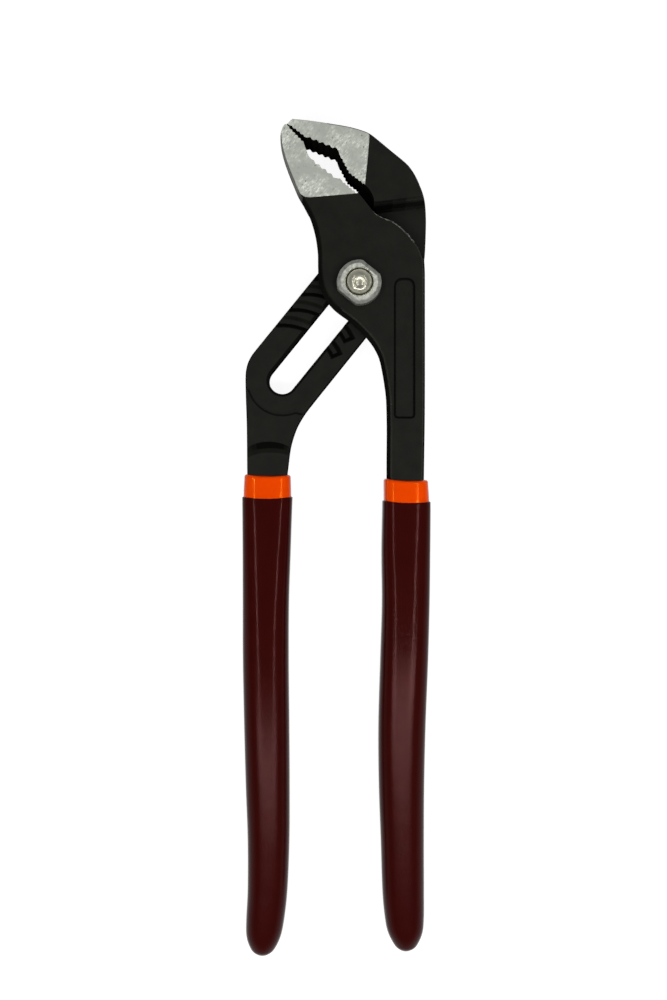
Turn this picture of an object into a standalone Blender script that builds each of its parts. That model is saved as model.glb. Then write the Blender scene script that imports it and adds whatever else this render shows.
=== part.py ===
"""Water pump pliers: two forged levers on a sliding pivot bolt, with two-coat dipped grips.

Metres, +Z up. Sizes below are in millimetres. Plan points are measured from the pivot axis, with +Y
towards the jaws. Heights are counted from the joint plane, where the two levers meet.
"""

import math

import bmesh
import bpy

MM = 0.001

# Heights
HEAD_FACE_TO_JOINT = 9.5
JOINT_GAP = 0.15
PLATE = 6.5
NECK_RISE = 0.4
PLATEAU_DROP = 1.0
GROUND_FACE = 6.2
JAW_BACK = -5.7
FRONT_PARTING = 2.2
REAR_PARTING = -2.2
DRAFT = math.tan(math.radians(13.0))

# Pivot slot and its adjusting grooves
SLOT_ANGLE = 51.0
SLOT_FLARE = 0.8
STATIONS = 7
STATION_PITCH = 6.0
GROOVE_RADIUS = 18.0
GROOVE_WIDTH = 3.2
GROOVE_DEPTH = 1.5
TONGUE_SIDE_CLEARANCE = 0.5
TONGUE_TIP_CLEARANCE = 0.3
SHOULDER_RADIUS = 11.0
STEP_FILLET = 1.2
BOSS_CLEARANCE = 0.4
BOSS_RELIEF = 0.8

# Pivot bolt and nut
HEAD_RADIUS = 8.0
HEAD_THICKNESS = 2.7
SHANK_RADIUS = 3.8
SHANK_CLEARANCE = 0.2
NUT_RADIUS = 6.5
NUT_HALF_FLATS = 5.5
NUT_SEAT = 6.8
NUT_TOP = 10.4
BOLT_TOP = 11.3

# Jaw teeth
FINE_PITCH = 1.25
FINE_DEPTH = 0.35
COARSE_PITCH = 2.25
COARSE_DEPTH = 0.6

# Grips along the handles
GRIP_LENGTH = 144.3
RIGHT_GRIP_SHORTER = 3.0
LEFT_MOUTH = -56.5
RIGHT_MOUTH = -57.9

# Grip coats, as depths below the outer skin
TOP_COAT_INSIDE = 0.55
BASE_COAT_OUTSIDE = 0.67
BASE_COAT_INSIDE = 1.35
TANG = 1.5
SECTION_POINTS = 20

HOLE_RADIUS = SHANK_RADIUS + SHANK_CLEARANCE
SLOT_X = math.cos(math.radians(SLOT_ANGLE))
SLOT_Y = math.sin(math.radians(SLOT_ANGLE))
TRAVEL = STATION_PITCH * (STATIONS - 1)
LOW_X = -TRAVEL * SLOT_X
LOW_Y = -TRAVEL * SLOT_Y


def arc(cx, cy, radius, start, end, steps):
    """Points on an arc with both ends included, angles in degrees."""
    angles = [math.radians(start + (end - start) * i / steps) for i in range(steps + 1)]
    return [(cx + radius * math.cos(a), cy + radius * math.sin(a)) for a in angles]


def teeth(a, b, pitch, depth):
    """Sawtooth points from a to b along a jaw edge, cut into the metal on the left of the run."""
    length = math.hypot(b[0] - a[0], b[1] - a[1])
    along = ((b[0] - a[0]) / length, (b[1] - a[1]) / length)
    inwards = (-along[1] * depth, along[0] * depth)
    count = round(length / pitch)
    points = []
    for i in range(count):
        start = length * i / count
        valley = length * (i + 0.5) / count
        points.append((a[0] + along[0] * start, a[1] + along[1] * start, 0))
        points.append((a[0] + along[0] * valley + inwards[0], a[1] + along[1] * valley + inwards[1], 0))
    points.append((b[0], b[1], 0))
    return points


def inset(outline, distance):
    """The anticlockwise outline moved inwards.

    A point is (x, y) to move fully, (x, y, share) to move by a share of it, or (x, y, dx, dy) to move
    that way for each millimetre.
    """
    moved = []
    for i, point in enumerate(outline):
        before = outline[i - 1]
        after = outline[(i + 1) % len(outline)]
        if len(point) == 4:
            moved.append((point[0] + point[2] * distance, point[1] + point[3] * distance))
            continue
        share = point[2] if len(point) == 3 else 1.0
        first = math.atan2(point[1] - before[1], point[0] - before[0])
        second = math.atan2(after[1] - point[1], after[0] - point[0])
        normal_x = -math.sin(first) - math.sin(second)
        normal_y = math.cos(first) + math.cos(second)
        scale = distance * share / max(0.4, 1 + math.cos(first - second))
        moved.append((point[0] + normal_x * scale, point[1] + normal_y * scale))
    return moved


def skin(name, loops):
    """A closed body through loops of points, with both ends capped."""
    mesh = bmesh.new()
    rings = []
    for loop in loops:
        rings.append([mesh.verts.new((x * MM, y * MM, (z + HEAD_FACE_TO_JOINT) * MM)) for x, y, z in loop])
    for lower, upper in zip(rings, rings[1:]):
        for i in range(len(lower)):
            j = (i + 1) % len(lower)
            mesh.faces.new((lower[i], lower[j], upper[j], upper[i]))
    mesh.faces.new(rings[0][::-1])
    mesh.faces.new(rings[-1])
    bmesh.ops.recalc_face_normals(mesh, faces=mesh.faces[:])
    if mesh.calc_volume(signed=True) < 0:
        bmesh.ops.reverse_faces(mesh, faces=mesh.faces[:])
    data = bpy.data.meshes.new(name)
    mesh.to_mesh(data)
    mesh.free()
    body = bpy.data.objects.new(name, data)
    bpy.context.scene.collection.objects.link(body)
    return body


def slab(name, outline, levels):
    """A body from a plan outline, with an inset at each height from the lowest to the highest."""
    return skin(name, [[(x, y, z) for x, y in inset(outline, d)] for z, d in levels])


def turned(name, profile, steps):
    """A body turned about the pivot axis from (height, radius) pairs."""
    return skin(name, [[(x, y, z) for x, y in arc(0, 0, r, 0, 360 - 360 / steps, steps - 1)] for z, r in profile])


def boolean(body, tool, operation):
    tool.hide_render = True
    tool.display_type = "WIRE"
    step = body.modifiers.new(tool.name, "BOOLEAN")
    step.operation = operation
    step.object = tool
    step.solver = "EXACT"


def material(body, name, colour, metallic, roughness):
    made = bpy.data.materials.new(name)
    made.use_nodes = True
    shader = made.node_tree.nodes["Principled BSDF"]
    shader.inputs["Base Color"].default_value = (*colour, 1)
    shader.inputs["Metallic"].default_value = metallic
    shader.inputs["Roughness"].default_value = roughness
    body.data.materials.append(made)


def sector(name, cx, cy, width, start, end, low, high, steps):
    """A block that follows the groove radius about one station."""
    outer = arc(cx, cy, GROOVE_RADIUS + width / 2, start, end, steps)
    inner = arc(cx, cy, GROOVE_RADIUS - width / 2, end, start, steps)
    return slab(name, outer + inner, [(low, 0), (high, 0)])


def grip_section(station, depth):
    """One loop of a grip at a depth below its outer skin: a rounded rectangle that turns into an oval."""
    y, cx, cz, width, height, squareness, end = station
    sideways = depth * math.sqrt(1 - end * end)
    a = width / 2 - sideways
    b = height / 2 - sideways
    loop = []
    for i in range(SECTION_POINTS):
        angle = math.tau * (i + 0.5) / SECTION_POINTS
        c = math.cos(angle)
        s = math.sin(angle)
        x = math.copysign(abs(c) ** (2 / squareness), c)
        z = math.copysign(abs(s) ** (2 / squareness), s)
        loop.append((cx + a * x, y + depth * end, cz + b * z))
    return loop


def stations(mouth, length, rows):
    """Grip stations with their places along the handle worked out from the grip's mouth and length."""
    return [(mouth - row[0] * length, *row[1:]) for row in rows]


def lip(station, shift, shrink):
    """The station moved towards the mouth and drawn in, for a rounded rim."""
    y, cx, cz, width, height, squareness, end = station
    return (y + shift, cx, cz, width - shrink, height - shrink, squareness, end)


def cup(name, stations, outside, inside):
    """A dipped coat: outer skin from the closed end to the mouth, then back down the inside."""
    loops = [grip_section(s, outside) for s in reversed(stations)]
    loops.append(grip_section(lip(stations[0], 0.35, 0.5), outside))
    loops.append(grip_section(lip(stations[0], 0.35, 0), inside))
    loops += [grip_section(s, inside) for s in stations[1:]]
    return skin(name, loops)


# Grip stations: share of the length, centre x, centre height, width, height, squareness, share of the end dome
LEFT_GRIP = stations(
    LEFT_MOUTH,
    GRIP_LENGTH,
    [
        (0, -27.2, -3.75, 15.2, 9.2, 8.0, 0),
        (0.051, -27.25, -3.6, 15.4, 9.4, 7.0, 0),
        (0.073, -27.3, -3.4, 15.15, 9.5, 6.2, 0),
        (0.163, -27.45, -2.7, 14.6, 10.1, 4.5, 0),
        (0.267, -27.65, -1.9, 14.05, 10.7, 3.4, 0),
        (0.385, -27.65, -1.2, 13.9, 11.2, 2.8, 0),
        (0.523, -27.35, -0.6, 13.65, 11.4, 2.4, 0),
        (0.648, -27.05, -0.4, 13.25, 11.3, 2.2, 0),
        (0.759, -26.8, -0.3, 12.6, 11.1, 2.1, 0),
        (0.863, -27.1, -0.3, 12.0, 10.8, 2.1, 0),
        (0.925, -27.8, -0.3, 11.45, 10.5, 2.1, 0),
        (0.9605, -28.3, -0.3, 10.3, 9.7, 2.0, 0.35),
        (0.9855, -28.55, -0.3, 7.3, 7.1, 2.0, 0.75),
        (0.996, -28.6, -0.3, 4.2, 4.1, 2.0, 0.95),
        (1, -28.6, -0.3, 1.4, 1.4, 2.0, 1),
    ],
)
RIGHT_GRIP = stations(
    RIGHT_MOUTH,
    GRIP_LENGTH - RIGHT_GRIP_SHORTER,
    [
        (0, 14.1, 3.3, 14.3, 9.8, 8.0, 0),
        (0.05, 14.3, 3.2, 14.3, 9.8, 7.0, 0),
        (0.071, 14.3, 3.1, 14.45, 9.9, 6.2, 0),
        (0.156, 14.2, 2.6, 14.6, 10.3, 4.5, 0),
        (0.263, 14.25, 1.9, 14.25, 10.8, 3.4, 0),
        (0.383, 13.85, 1.2, 14.35, 11.2, 2.8, 0),
        (0.524, 13.25, 0.6, 14.15, 11.4, 2.4, 0),
        (0.652, 13.15, 0.4, 13.6, 11.3, 2.2, 0),
        (0.765, 13.4, 0.3, 12.95, 11.1, 2.1, 0),
        (0.871, 13.65, 0.3, 12.5, 10.8, 2.1, 0),
        (0.928, 14.0, 0.3, 11.75, 10.4, 2.1, 0.1),
        (0.9605, 14.25, 0.3, 10.4, 9.7, 2.0, 0.35),
        (0.986, 14.4, 0.3, 7.0, 6.8, 2.0, 0.75),
        (0.996, 14.35, 0.3, 4.0, 3.9, 2.0, 0.95),
        (1, 14.3, 0.3, 1.4, 1.4, 2.0, 1),
    ],
)

# Outline of the front lever at its parting line, anticlockwise from the foot of the tang
FRONT_SIDE = [
    (19.75, -60.0),
    (19.95, -36.0),
    (19.97, -4.0),
    (19.85, 5.0, 0.7),
    (19.45, 7.0, 0.3),
    (18.4, 9.9, 0.3),
    (16.25, 13.1, 0.3),
    (14.4, 15.35, 0.3),
    (12.35, 17.25, 0.3),
    (9.85, 19.0, 0.3),
    (7.1, 20.4, 0.3),
    (3.95, 21.5, 0.1),
]
FRONT_BITE = (
    teeth((-0.36, 26.67), (-4.95, 30.5), FINE_PITCH, FINE_DEPTH)
    + [(-5.5, 31.1, 0)]
    + teeth((-6.3, 31.1), (-13.3, 36.5), COARSE_PITCH, COARSE_DEPTH)
    + [(-14.1, 36.8, 0), (-14.8, 37.8, 0), (-15.6, 39.8, 0), (-16.1, 41.15, 0)]
    + teeth((-16.4, 42.05), (-21.25, 47.0), FINE_PITCH, FINE_DEPTH)
)
FRONT_NOSE = [
    (-22.3, 48.05, 1.0, -1.0),
    (-22.95, 48.0),
    (-23.35, 46.7),
    (-23.5, 44.7),
    (-23.25, 41.1),
    (-22.4, 37.5),
    (-21.15, 33.9),
    (-19.65, 30.3),
    (-18.05, 26.7),
    (-16.5, 24.2),
    (-15.1, 21.9),
    (-14.05, 19.5),
]
FRONT_BOSS = [
    (-13.3, 17.1),
    (-12.7, 14.7),
    (-12.3, 12.3),
    (-12.0, 9.5),
    (-11.95, 6.0),
    (-11.85, 3.0),
    (-11.3, -0.4),
    (-10.2, -3.2),
    (-8.9, -5.2),
    (-7.2, -7.1),
    (-5.4, -8.6),
    (-3.4, -10.0),
    (-0.6, -12.3),
    (2.45, -15.45),
    (4.6, -18.3),
    (6.2, -21.5),
    (7.15, -25.5),
    (7.9, -30.0),
    (8.35, -34.0),
    (8.55, -42.0),
    (8.5, -60.0),
]

# Outline of the rear lever's bar and neck at its parting line
REAR_PLATE = [
    (-21.25, -58.5),
    (-21.1, -56.4),
    (-20.85, -54.2),
    (-20.15, -48.8),
    (-19.25, -45.2),
    (-17.85, -41.6),
    (-15.7, -38.0),
    (-12.95, -34.4),
    (18.9, 5.2),
    (19.8, 6.7),
    (20.0, 8.4),
    (18.0, 14.0),
    (14.0, 22.0),
    (5.5, 24.5),
    (3.2, 23.2),
    (-30.6, -18.4),
    (-32.1, -20.4),
    (-33.1, -22.4),
    (-33.65, -24.5),
    (-33.85, -27.0),
    (-33.75, -32.5),
    (-33.5, -40.0),
    (-33.4, -47.0),
    (-33.35, -54.5),
    (-33.3, -56.4),
    (-33.2, -58.5),
]

# Outline of the rear jaw on its front face
REAR_BACK = [
    (18.9, 9.2, 0.9),
    (19.0, 15.0),
    (19.1, 20.5),
    (18.9, 24.6),
    (18.6, 26.6),
    (17.8, 29.2),
    (16.5, 32.0),
    (15.1, 34.2),
    (13.7, 35.7),
    (9.2, 39.4),
    (4.8, 43.05),
    (3.3, 44.3),
    (1.7, 45.1),
    (-2.6, 46.3),
    (-8.5, 47.4),
    (-14.4, 48.4),
    (-19.4, 49.0),
    (-21.1, 47.3, 0.5, -0.6),
]
REAR_BITE = (
    teeth((-21.1, 47.3), (-16.0, 43.4), FINE_PITCH, FINE_DEPTH)[1:]
    + teeth((-15.4, 43.2), (-6.0, 39.4), COARSE_PITCH, COARSE_DEPTH)
    + [(-5.05, 36.75, 0), (-3.85, 34.2, 0)]
    + teeth((-2.9, 32.65), (2.0, 28.95), FINE_PITCH, FINE_DEPTH)
    + [(2.75, 28.3, 0), (3.9, 26.55, 0), (4.5, 25.65, 0), (4.5, 22.6, 0), (6.0, 14.0, 0), (14.0, 9.0, 0)]
)

for old in list(bpy.data.objects):
    bpy.data.objects.remove(old)

# Rear lever: plate and jaw joined, then the joint face is milled, slotted and grooved
rear = slab(
    "rear_lever",
    REAR_PLATE,
    [
        (-PLATE, (PLATE + REAR_PARTING) * DRAFT),
        (REAR_PARTING, 0),
        (NECK_RISE, (NECK_RISE - REAR_PARTING) * DRAFT),
    ],
)
jaw_draft = (PLATE + 1.0) * DRAFT * 0.9
rear_jaw = slab(
    "rear_jaw_block",
    REAR_BACK + REAR_BITE,
    [(JAW_BACK, -jaw_draft + (-1.0 - JAW_BACK) * DRAFT * 0.9), (-1.0, -jaw_draft), (PLATE, 0)],
)
boolean(rear, rear_jaw, "UNION")
rear_tang = skin("rear_tang", [grip_section(s, TANG) for s in LEFT_GRIP])
boolean(rear, rear_tang, "UNION")
milled = [(x, y, 0) for x, y in arc(LOW_X, LOW_Y, SHOULDER_RADIUS, 200, 290, 12)]
milled += [(-10.0, -39.3, 0), (10.0, -42.0, 0), (34.0, 0.0, 0), (34.0, 26.5, 0.12, -0.99), (4.45, 22.97, 0.12, -0.99)]
milled += [(4.45, 25.2, 0), (-12.0, 25.2, 0), (-45.0, -15.0, 0), (-45.0, -30.8, 0)]
milling = slab(
    "rear_milling",
    milled,
    [(-JOINT_GAP, STEP_FILLET), (-JOINT_GAP + STEP_FILLET, 0), (PLATE + 4.0, 0)],
)
boolean(rear, milling, "DIFFERENCE")
slot_line = arc(0, 0, HOLE_RADIUS, SLOT_ANGLE - 90, SLOT_ANGLE + 90, 10)
slot_line += arc(LOW_X, LOW_Y, HOLE_RADIUS, SLOT_ANGLE + 90, SLOT_ANGLE + 270, 10)
slot = slab(
    "rear_slot",
    slot_line,
    [(-PLATE - 2.0, 0), (-JOINT_GAP - SLOT_FLARE, 0), (-JOINT_GAP + 1.0, -SLOT_FLARE - 1.0)],
)
boolean(rear, slot, "DIFFERENCE")
for k in range(STATIONS):
    groove = sector(
        "rear_groove_%d" % (k + 1),
        -STATION_PITCH * k * SLOT_X,
        -STATION_PITCH * k * SLOT_Y,
        GROOVE_WIDTH,
        23,
        101,
        -JOINT_GAP - GROOVE_DEPTH,
        1.0,
        12,
    )
    boolean(rear, groove, "DIFFERENCE")
plateau_edge = [
    (-17.0, -64.0, 0),
    (-17.0, -50.9, 0, -1),
    (-21.6, -50.6, 0, -1),
    (-25.5, -50.2, 0, -1),
    (-28.8, -50.15, 0, -1),
    (-30.4, -50.5, 0, -1),
    (-31.4, -51.4, 0.2, -0.9),
    (-31.8, -52.8, 0.12, -0.2),
    (-32.2, -54.6, 0.1, 0),
    (-34.6, -56.0, 0.1, 0),
    (-34.6, -64.0, 0.1, 0),
]
plateau = slab("rear_plateau", plateau_edge, [(-PLATEAU_DROP, 0), (-PLATEAU_DROP + 2.0, -5.4)])
boolean(rear, plateau, "DIFFERENCE")
rear_ground = slab(
    "rear_grinding",
    [(-30.0, 24.0), (1.4, 24.0), (1.86, 29.4), (2.6, 36.3), (3.2, 43.3), (3.6, 48.0), (3.6, 60.0), (-30.0, 60.0)],
    [(GROUND_FACE, 0), (PLATE + 3.0, 0)],
)
boolean(rear, rear_ground, "DIFFERENCE")
material(rear, "blackened_steel_rear", (0.014, 0.014, 0.012), 0.6, 0.45)

# Front lever: plate, jaw back, tongue and tang joined, then relieved, bored and ground
front_outline = FRONT_SIDE + FRONT_BITE + FRONT_NOSE + FRONT_BOSS
front = slab(
    "front_lever",
    front_outline,
    [
        (JOINT_GAP, (FRONT_PARTING - JOINT_GAP) * DRAFT),
        (FRONT_PARTING, 0),
        (PLATE, (PLATE - FRONT_PARTING) * DRAFT),
    ],
)
jaw_back = slab(
    "front_jaw_block",
    [(-0.9, 21.5, 0), (-0.75, 26.75, 0)] + FRONT_BITE[1:] + FRONT_NOSE[:-1] + [(-14.0, 19.4, 0.95, 0.35), (-3.7, 17.4, 0)],
    [(JAW_BACK, 1.4), (1.0, 0.12), (3.0, 0.6)],
)
boolean(front, jaw_back, "UNION")
tongue_width = GROOVE_WIDTH - 2 * TONGUE_SIDE_CLEARANCE
tongue_tip = -JOINT_GAP - GROOVE_DEPTH + TONGUE_TIP_CLEARANCE
tongue = sector("front_tongue", 0, 0, tongue_width, 66, 84, tongue_tip, 3.0, 6)
boolean(front, tongue, "UNION")
front_tang = skin("front_tang", [grip_section(s, TANG) for s in RIGHT_GRIP])
boolean(front, front_tang, "UNION")
relief = slab(
    "front_relief",
    [(-17.0, 8.7), (-17.0, -27.5), (9.6, -27.5)] + arc(0, 0, SHOULDER_RADIUS - BOSS_CLEARANCE, 320, 125, 22),
    [(-3.0, 0), (JOINT_GAP + BOSS_RELIEF, 0)],
)
boolean(front, relief, "DIFFERENCE")
hole = turned("front_hole", [(-3.0, HOLE_RADIUS), (PLATE + 3.0, HOLE_RADIUS)], 32)
boolean(front, hole, "DIFFERENCE")
front_ground = slab(
    "front_grinding",
    [(-30.0, 24.37), (1.5, 26.8), (1.5, 60.0), (-30.0, 60.0)],
    [(GROUND_FACE, 0), (PLATE + 3.0, 0)],
)
boolean(front, front_ground, "DIFFERENCE")
panel = slab(
    "front_panel",
    [(10.4, -40.2), (15.7, -40.2)] + arc(13.05, -1.0, 2.65, 0, 180, 8),
    [(PLATE - 0.5, 0), (PLATE + 2.0, 0)],
)
boolean(front, panel, "DIFFERENCE")
material(front, "blackened_steel_front", (0.014, 0.014, 0.012), 0.6, 0.45)

# Pivot bolt: flat head behind, shank through slot and lever, peened domed end in front
bolt = turned(
    "pivot_bolt",
    [
        (-HEAD_FACE_TO_JOINT, HEAD_RADIUS - 0.7),
        (-HEAD_FACE_TO_JOINT + 0.7, HEAD_RADIUS),
        (-HEAD_FACE_TO_JOINT + HEAD_THICKNESS, HEAD_RADIUS),
        (-HEAD_FACE_TO_JOINT + HEAD_THICKNESS, SHANK_RADIUS),
        (NUT_TOP - 0.6, SHANK_RADIUS),
        (NUT_TOP - 0.2, SHANK_RADIUS - 0.2),
        (BOLT_TOP - 0.5, SHANK_RADIUS * 0.77),
        (BOLT_TOP - 0.15, SHANK_RADIUS * 0.53),
        (BOLT_TOP, SHANK_RADIUS * 0.29),
        (BOLT_TOP - 0.3, SHANK_RADIUS * 0.1),
    ],
    32,
)
material(bolt, "zinc_plated_bolt", (0.42, 0.42, 0.37), 1.0, 0.35)

# Pivot nut: round with two flats across the slot line
half_chord = math.degrees(math.acos(NUT_HALF_FLATS / NUT_RADIUS))
nut_line = arc(0, 0, NUT_RADIUS, SLOT_ANGLE + half_chord, SLOT_ANGLE + 180 - half_chord, 10)
nut_line += arc(0, 0, NUT_RADIUS, SLOT_ANGLE + 180 + half_chord, SLOT_ANGLE + 360 - half_chord, 10)
nut = slab(
    "pivot_nut",
    nut_line,
    [(NUT_SEAT, 0.3), (NUT_SEAT + 0.3, 0), (NUT_TOP - 0.7, 0), (NUT_TOP, 0.9)],
)
bore = turned("nut_bore", [(NUT_SEAT - 2.0, HOLE_RADIUS), (NUT_TOP + 2.0, HOLE_RADIUS)], 32)
boolean(nut, bore, "DIFFERENCE")
material(nut, "zinc_plated_nut", (0.45, 0.46, 0.41), 1.0, 0.4)

# Grips: an orange base coat with a maroon top coat that stops short of its rim
left_base = cup("left_base_coat", LEFT_GRIP, BASE_COAT_OUTSIDE, BASE_COAT_INSIDE)
material(left_base, "orange_vinyl_left", (0.78, 0.06, 0.002), 0.0, 0.4)
left_top = cup("left_top_coat", LEFT_GRIP[1:], 0, TOP_COAT_INSIDE)
material(left_top, "maroon_vinyl_left", (0.034, 0.004, 0.003), 0.0, 0.35)
right_base = cup("right_base_coat", RIGHT_GRIP, BASE_COAT_OUTSIDE, BASE_COAT_INSIDE)
material(right_base, "orange_vinyl_right", (0.78, 0.06, 0.002), 0.0, 0.4)
right_top = cup("right_top_coat", RIGHT_GRIP[1:], 0, TOP_COAT_INSIDE)
material(right_top, "maroon_vinyl_right", (0.034, 0.004, 0.003), 0.0, 0.35)
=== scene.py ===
"""Water pump pliers: the looks of two forged levers on a sliding pivot bolt, with dipped grips.

Metres, +Z up. The tables of points are in millimetres, measured from the pivot axis, with +Y towards the
jaws. Their heights are counted from the joint plane, where the two levers meet.
"""

import math

import bmesh
import bpy
from bpy.props import FloatProperty, FloatVectorProperty, IntProperty, PointerProperty
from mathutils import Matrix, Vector
from mathutils.geometry import interpolate_bezier


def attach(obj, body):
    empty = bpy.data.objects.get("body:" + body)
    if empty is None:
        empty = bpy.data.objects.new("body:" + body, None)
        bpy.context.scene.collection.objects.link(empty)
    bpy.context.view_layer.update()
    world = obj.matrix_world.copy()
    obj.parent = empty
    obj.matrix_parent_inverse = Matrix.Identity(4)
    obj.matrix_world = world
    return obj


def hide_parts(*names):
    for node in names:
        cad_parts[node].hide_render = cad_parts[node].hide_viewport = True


bl_info = {
    "name": "Water pump pliers",
    "version": (1, 0, 0),
    "blender": (4, 5, 0),
    "location": "3D View > Sidebar > Pliers",
    "description": "Builds the visible pieces of a pair of water pump pliers around their CAD frame",
    "category": "Object",
}

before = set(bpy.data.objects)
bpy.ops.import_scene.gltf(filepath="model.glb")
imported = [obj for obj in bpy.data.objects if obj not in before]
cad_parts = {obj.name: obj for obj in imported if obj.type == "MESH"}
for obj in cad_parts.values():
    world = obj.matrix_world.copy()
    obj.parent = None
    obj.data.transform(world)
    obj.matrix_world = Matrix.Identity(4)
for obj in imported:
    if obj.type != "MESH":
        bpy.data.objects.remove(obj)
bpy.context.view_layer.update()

MM = 0.001

# Finishes of a lever and of the nut, by the number of their material
# Three lever finishes are painted shade, ever darker: on the forged walls, at the rims of cuts and
# steps, and in the cuts
BLACK, SIDE, RUBBED, GROUND, BRIGHT, DULL, HALF_SHADE, FULL_SHADE = range(8)
PLATED, BEVEL = range(2)

# Distance of the parting lines from the joint plane, for levers and jaws
PARTING = 2.2 * MM
JAW_PARTING = 1.0 * MM

# Upright band along every parting line
BAND = 0.2 * MM

# How far above a face the tool that cuts it starts
CLEAR = 0.05 * MM

# More than the thickness of any piece
THROUGH = 12 * MM

# Share of the draft that the upper jaw's walls have, and the back of the lower jaw
UPPER_JAW_DRAFT = 0.9
LOWER_JAW_DRAFT = 0.85

# Arcs in degrees: the milled end of the joint face, the adjusting grooves and the tongue
SHOULDER_ARC = (200, 290)
GROOVE_ARC = (23, 97)
TONGUE_ARC = (66, 84)

# Sides of the turned pieces and of the grips
SEGMENTS = 72

# Front lever at its parting line, anticlockwise from the foot of the tang
FRONT_RIGHT = [(19.6, -61.0), (19.75, -52.0), (19.95, -36.0), (19.97, -4.0), (19.95, 4.0), (19.8, 7.2)]
FRONT_ARC = [
    (19.8, 7.2), (18.5, 10.6), (16.65, 13.45), (14.7, 15.8), (12.6, 17.7), (10.0, 19.5),
    (7.2, 20.9), (4.03, 21.9),
]
FRONT_HEEL = [
    (-0.1, 27.1), (0.4, 29.8), (-3.6, 34.0), (-10.5, 39.4), (-13.0, 42.5), (-16.0, 46.5),
    (-18.6, 48.1),
]
FRONT_LEFT = [
    (-21.7, 48.0), (-22.75, 46.7), (-23.2, 44.7), (-22.9, 41.1), (-22.0, 37.5), (-20.75, 33.9),
    (-19.3, 30.3), (-17.75, 26.7), (-16.3, 24.2), (-15.1, 21.9), (-14.05, 19.5), (-13.3, 17.1),
    (-12.7, 14.7), (-12.3, 12.3), (-12.0, 9.5), (-11.95, 6.0), (-11.85, 3.0), (-11.3, -0.4),
    (-10.2, -3.2), (-8.9, -5.2), (-7.2, -7.1), (-5.4, -8.6), (-3.4, -10.0), (-0.6, -12.3),
    (2.45, -15.45), (4.6, -18.3), (6.2, -21.5), (7.15, -25.5), (7.9, -30.0), (8.35, -34.0),
    (8.55, -42.0), (8.5, -52.0), (8.5, -61.0),
]

# Rear lever's neck and bar at its parting line
REAR_NECK_RIGHT = [
    (-21.25, -60.0), (-21.1, -56.4), (-20.85, -54.2), (-20.15, -48.8), (-19.25, -45.2),
    (-17.85, -41.6), (-15.7, -38.0), (-12.95, -34.4), (-11.4, -32.46), (17.6, 3.57), (19.0, 4.95),
    (19.95, 6.4), (20.3, 8.4),
]
REAR_HEEL = [
    (18.0, 14.0), (14.0, 22.0), (6.5, 30.0), (2.4, 30.4), (0.4, 29.6), (-0.5, 28.2), (1.0, 25.9),
    (3.2, 23.2),
]
REAR_NECK_LEFT = [
    (-29.4, -16.92), (-30.6, -18.4), (-32.1, -20.4), (-33.1, -22.4), (-33.65, -24.5),
    (-33.85, -27.0), (-33.75, -32.5), (-33.5, -40.0), (-33.4, -47.0), (-33.35, -54.5),
    (-33.2, -60.0),
]

# Rear jaw at its parting line, anticlockwise from below the heel
REAR_JAW_BACK = [
    (19.9, 6.3), (20.2, 8.6), (20.4, 11.5), (20.55, 15.0), (20.65, 20.5), (20.45, 24.6),
    (20.1, 27.0), (19.25, 29.8), (17.85, 32.8), (16.35, 35.1), (14.75, 36.85), (10.2, 40.6),
    (5.8, 44.25), (4.1, 45.5), (2.2, 46.4), (-2.25, 47.7), (-8.2, 48.75), (-14.2, 49.65),
    (-20.1, 50.25),
]
REAR_JAW_INSIDE = [
    (-23.2, 47.2), (-22.6, 44.0), (-17.0, 39.8), (-8.5, 36.0), (-7.2, 32.4), (-4.6, 29.6),
    (0.0, 26.0),
]
REAR_JAW_ROOT = [(2.2, 23.4), (2.4, 19.0), (6.0, 12.0), (14.0, 6.6)]

# Step where the neck drops under the left grip
NECK_ARCH = [
    (-14.0, -53.5), (-16.9, -50.6), (-19.3, -48.6), (-22.0, -47.2), (-24.8, -46.5),
    (-27.4, -46.35), (-29.8, -46.7), (-32.0, -47.5), (-34.2, -49.0), (-36.5, -51.2),
    (-39.0, -54.0),
]

# Hollow between the lower jaw's coarse and fine teeth
FRONT_HOLLOW = [
    (-13.3, 36.5), (-14.1, 36.9), (-14.8, 37.8), (-15.6, 39.8), (-16.1, 41.15), (-16.4, 42.05),
]

# Upper end of the front lever's panel
PANEL_ARCH = [
    (16.7, -0.8), (16.3, 0.7), (15.2, 1.6), (13.5, 1.8), (11.8, 1.6), (10.7, 0.7), (10.3, -0.8),
]

# Side of an adjusting groove, downwards: share of the depth, inset and finish of each step
# The finishes paint the groove's sides as shade, darkest halfway down
GROOVE_SIDE = [
    (0.05, 0.15, BLACK), (0.15, 0.3, HALF_SHADE), (0.55, 0.8, FULL_SHADE), (0.2, 0.25, HALF_SHADE), (0.05, 0.1, BLACK),
]

# Side of the panel, downwards: drop, inset and finish of each step
# The finishes paint the panel's rim as shade
PANEL_SIDE = [(0.12, 0.18, HALF_SHADE), (0.28, 0.26, FULL_SHADE), (0.1, 0.3, HALF_SHADE)]

# Chamfer of the nut, upwards: rise and inset of each step
CHAMFER = [(0.25, 0.1), (0.5, 0.75), (0.15, 0.3)]

# Rounded saw tooth: share of the pitch and share of the depth
TOOTH = [(0, 0), (0.12, 0.08), (0.42, 0.92), (0.5, 1), (0.58, 0.92), (0.88, 0.08)]

# Peened end of the bolt: share of the shank's radius and drop below the top
DOME = [
    (1.0, 1.6), (0.98, 1.25), (0.93, 0.95), (0.86, 0.7), (0.77, 0.45), (0.68, 0.25), (0.59, 0.1),
    (0.52, 0.02), (0.46, 0.0), (0.4, 0.05), (0.33, 0.16), (0.24, 0.27), (0.13, 0.33), (0.0, 0.34),
]

# Softboxes: place, target, width and length in metres, and power in watts
SOFTBOXES = [
    ((-0.25, 0.06, 0.55), (-0.01, 0.06, 0), 0.012, 0.67, 0.95),
    ((0.22, 0.06, 0.55), (-0.01, 0.06, 0), 0.012, 0.67, 0.95),
    ((-0.01, -0.29, 0.55), (-0.01, 0, 0), 0.035, 0.8, 2.4),
]

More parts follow.
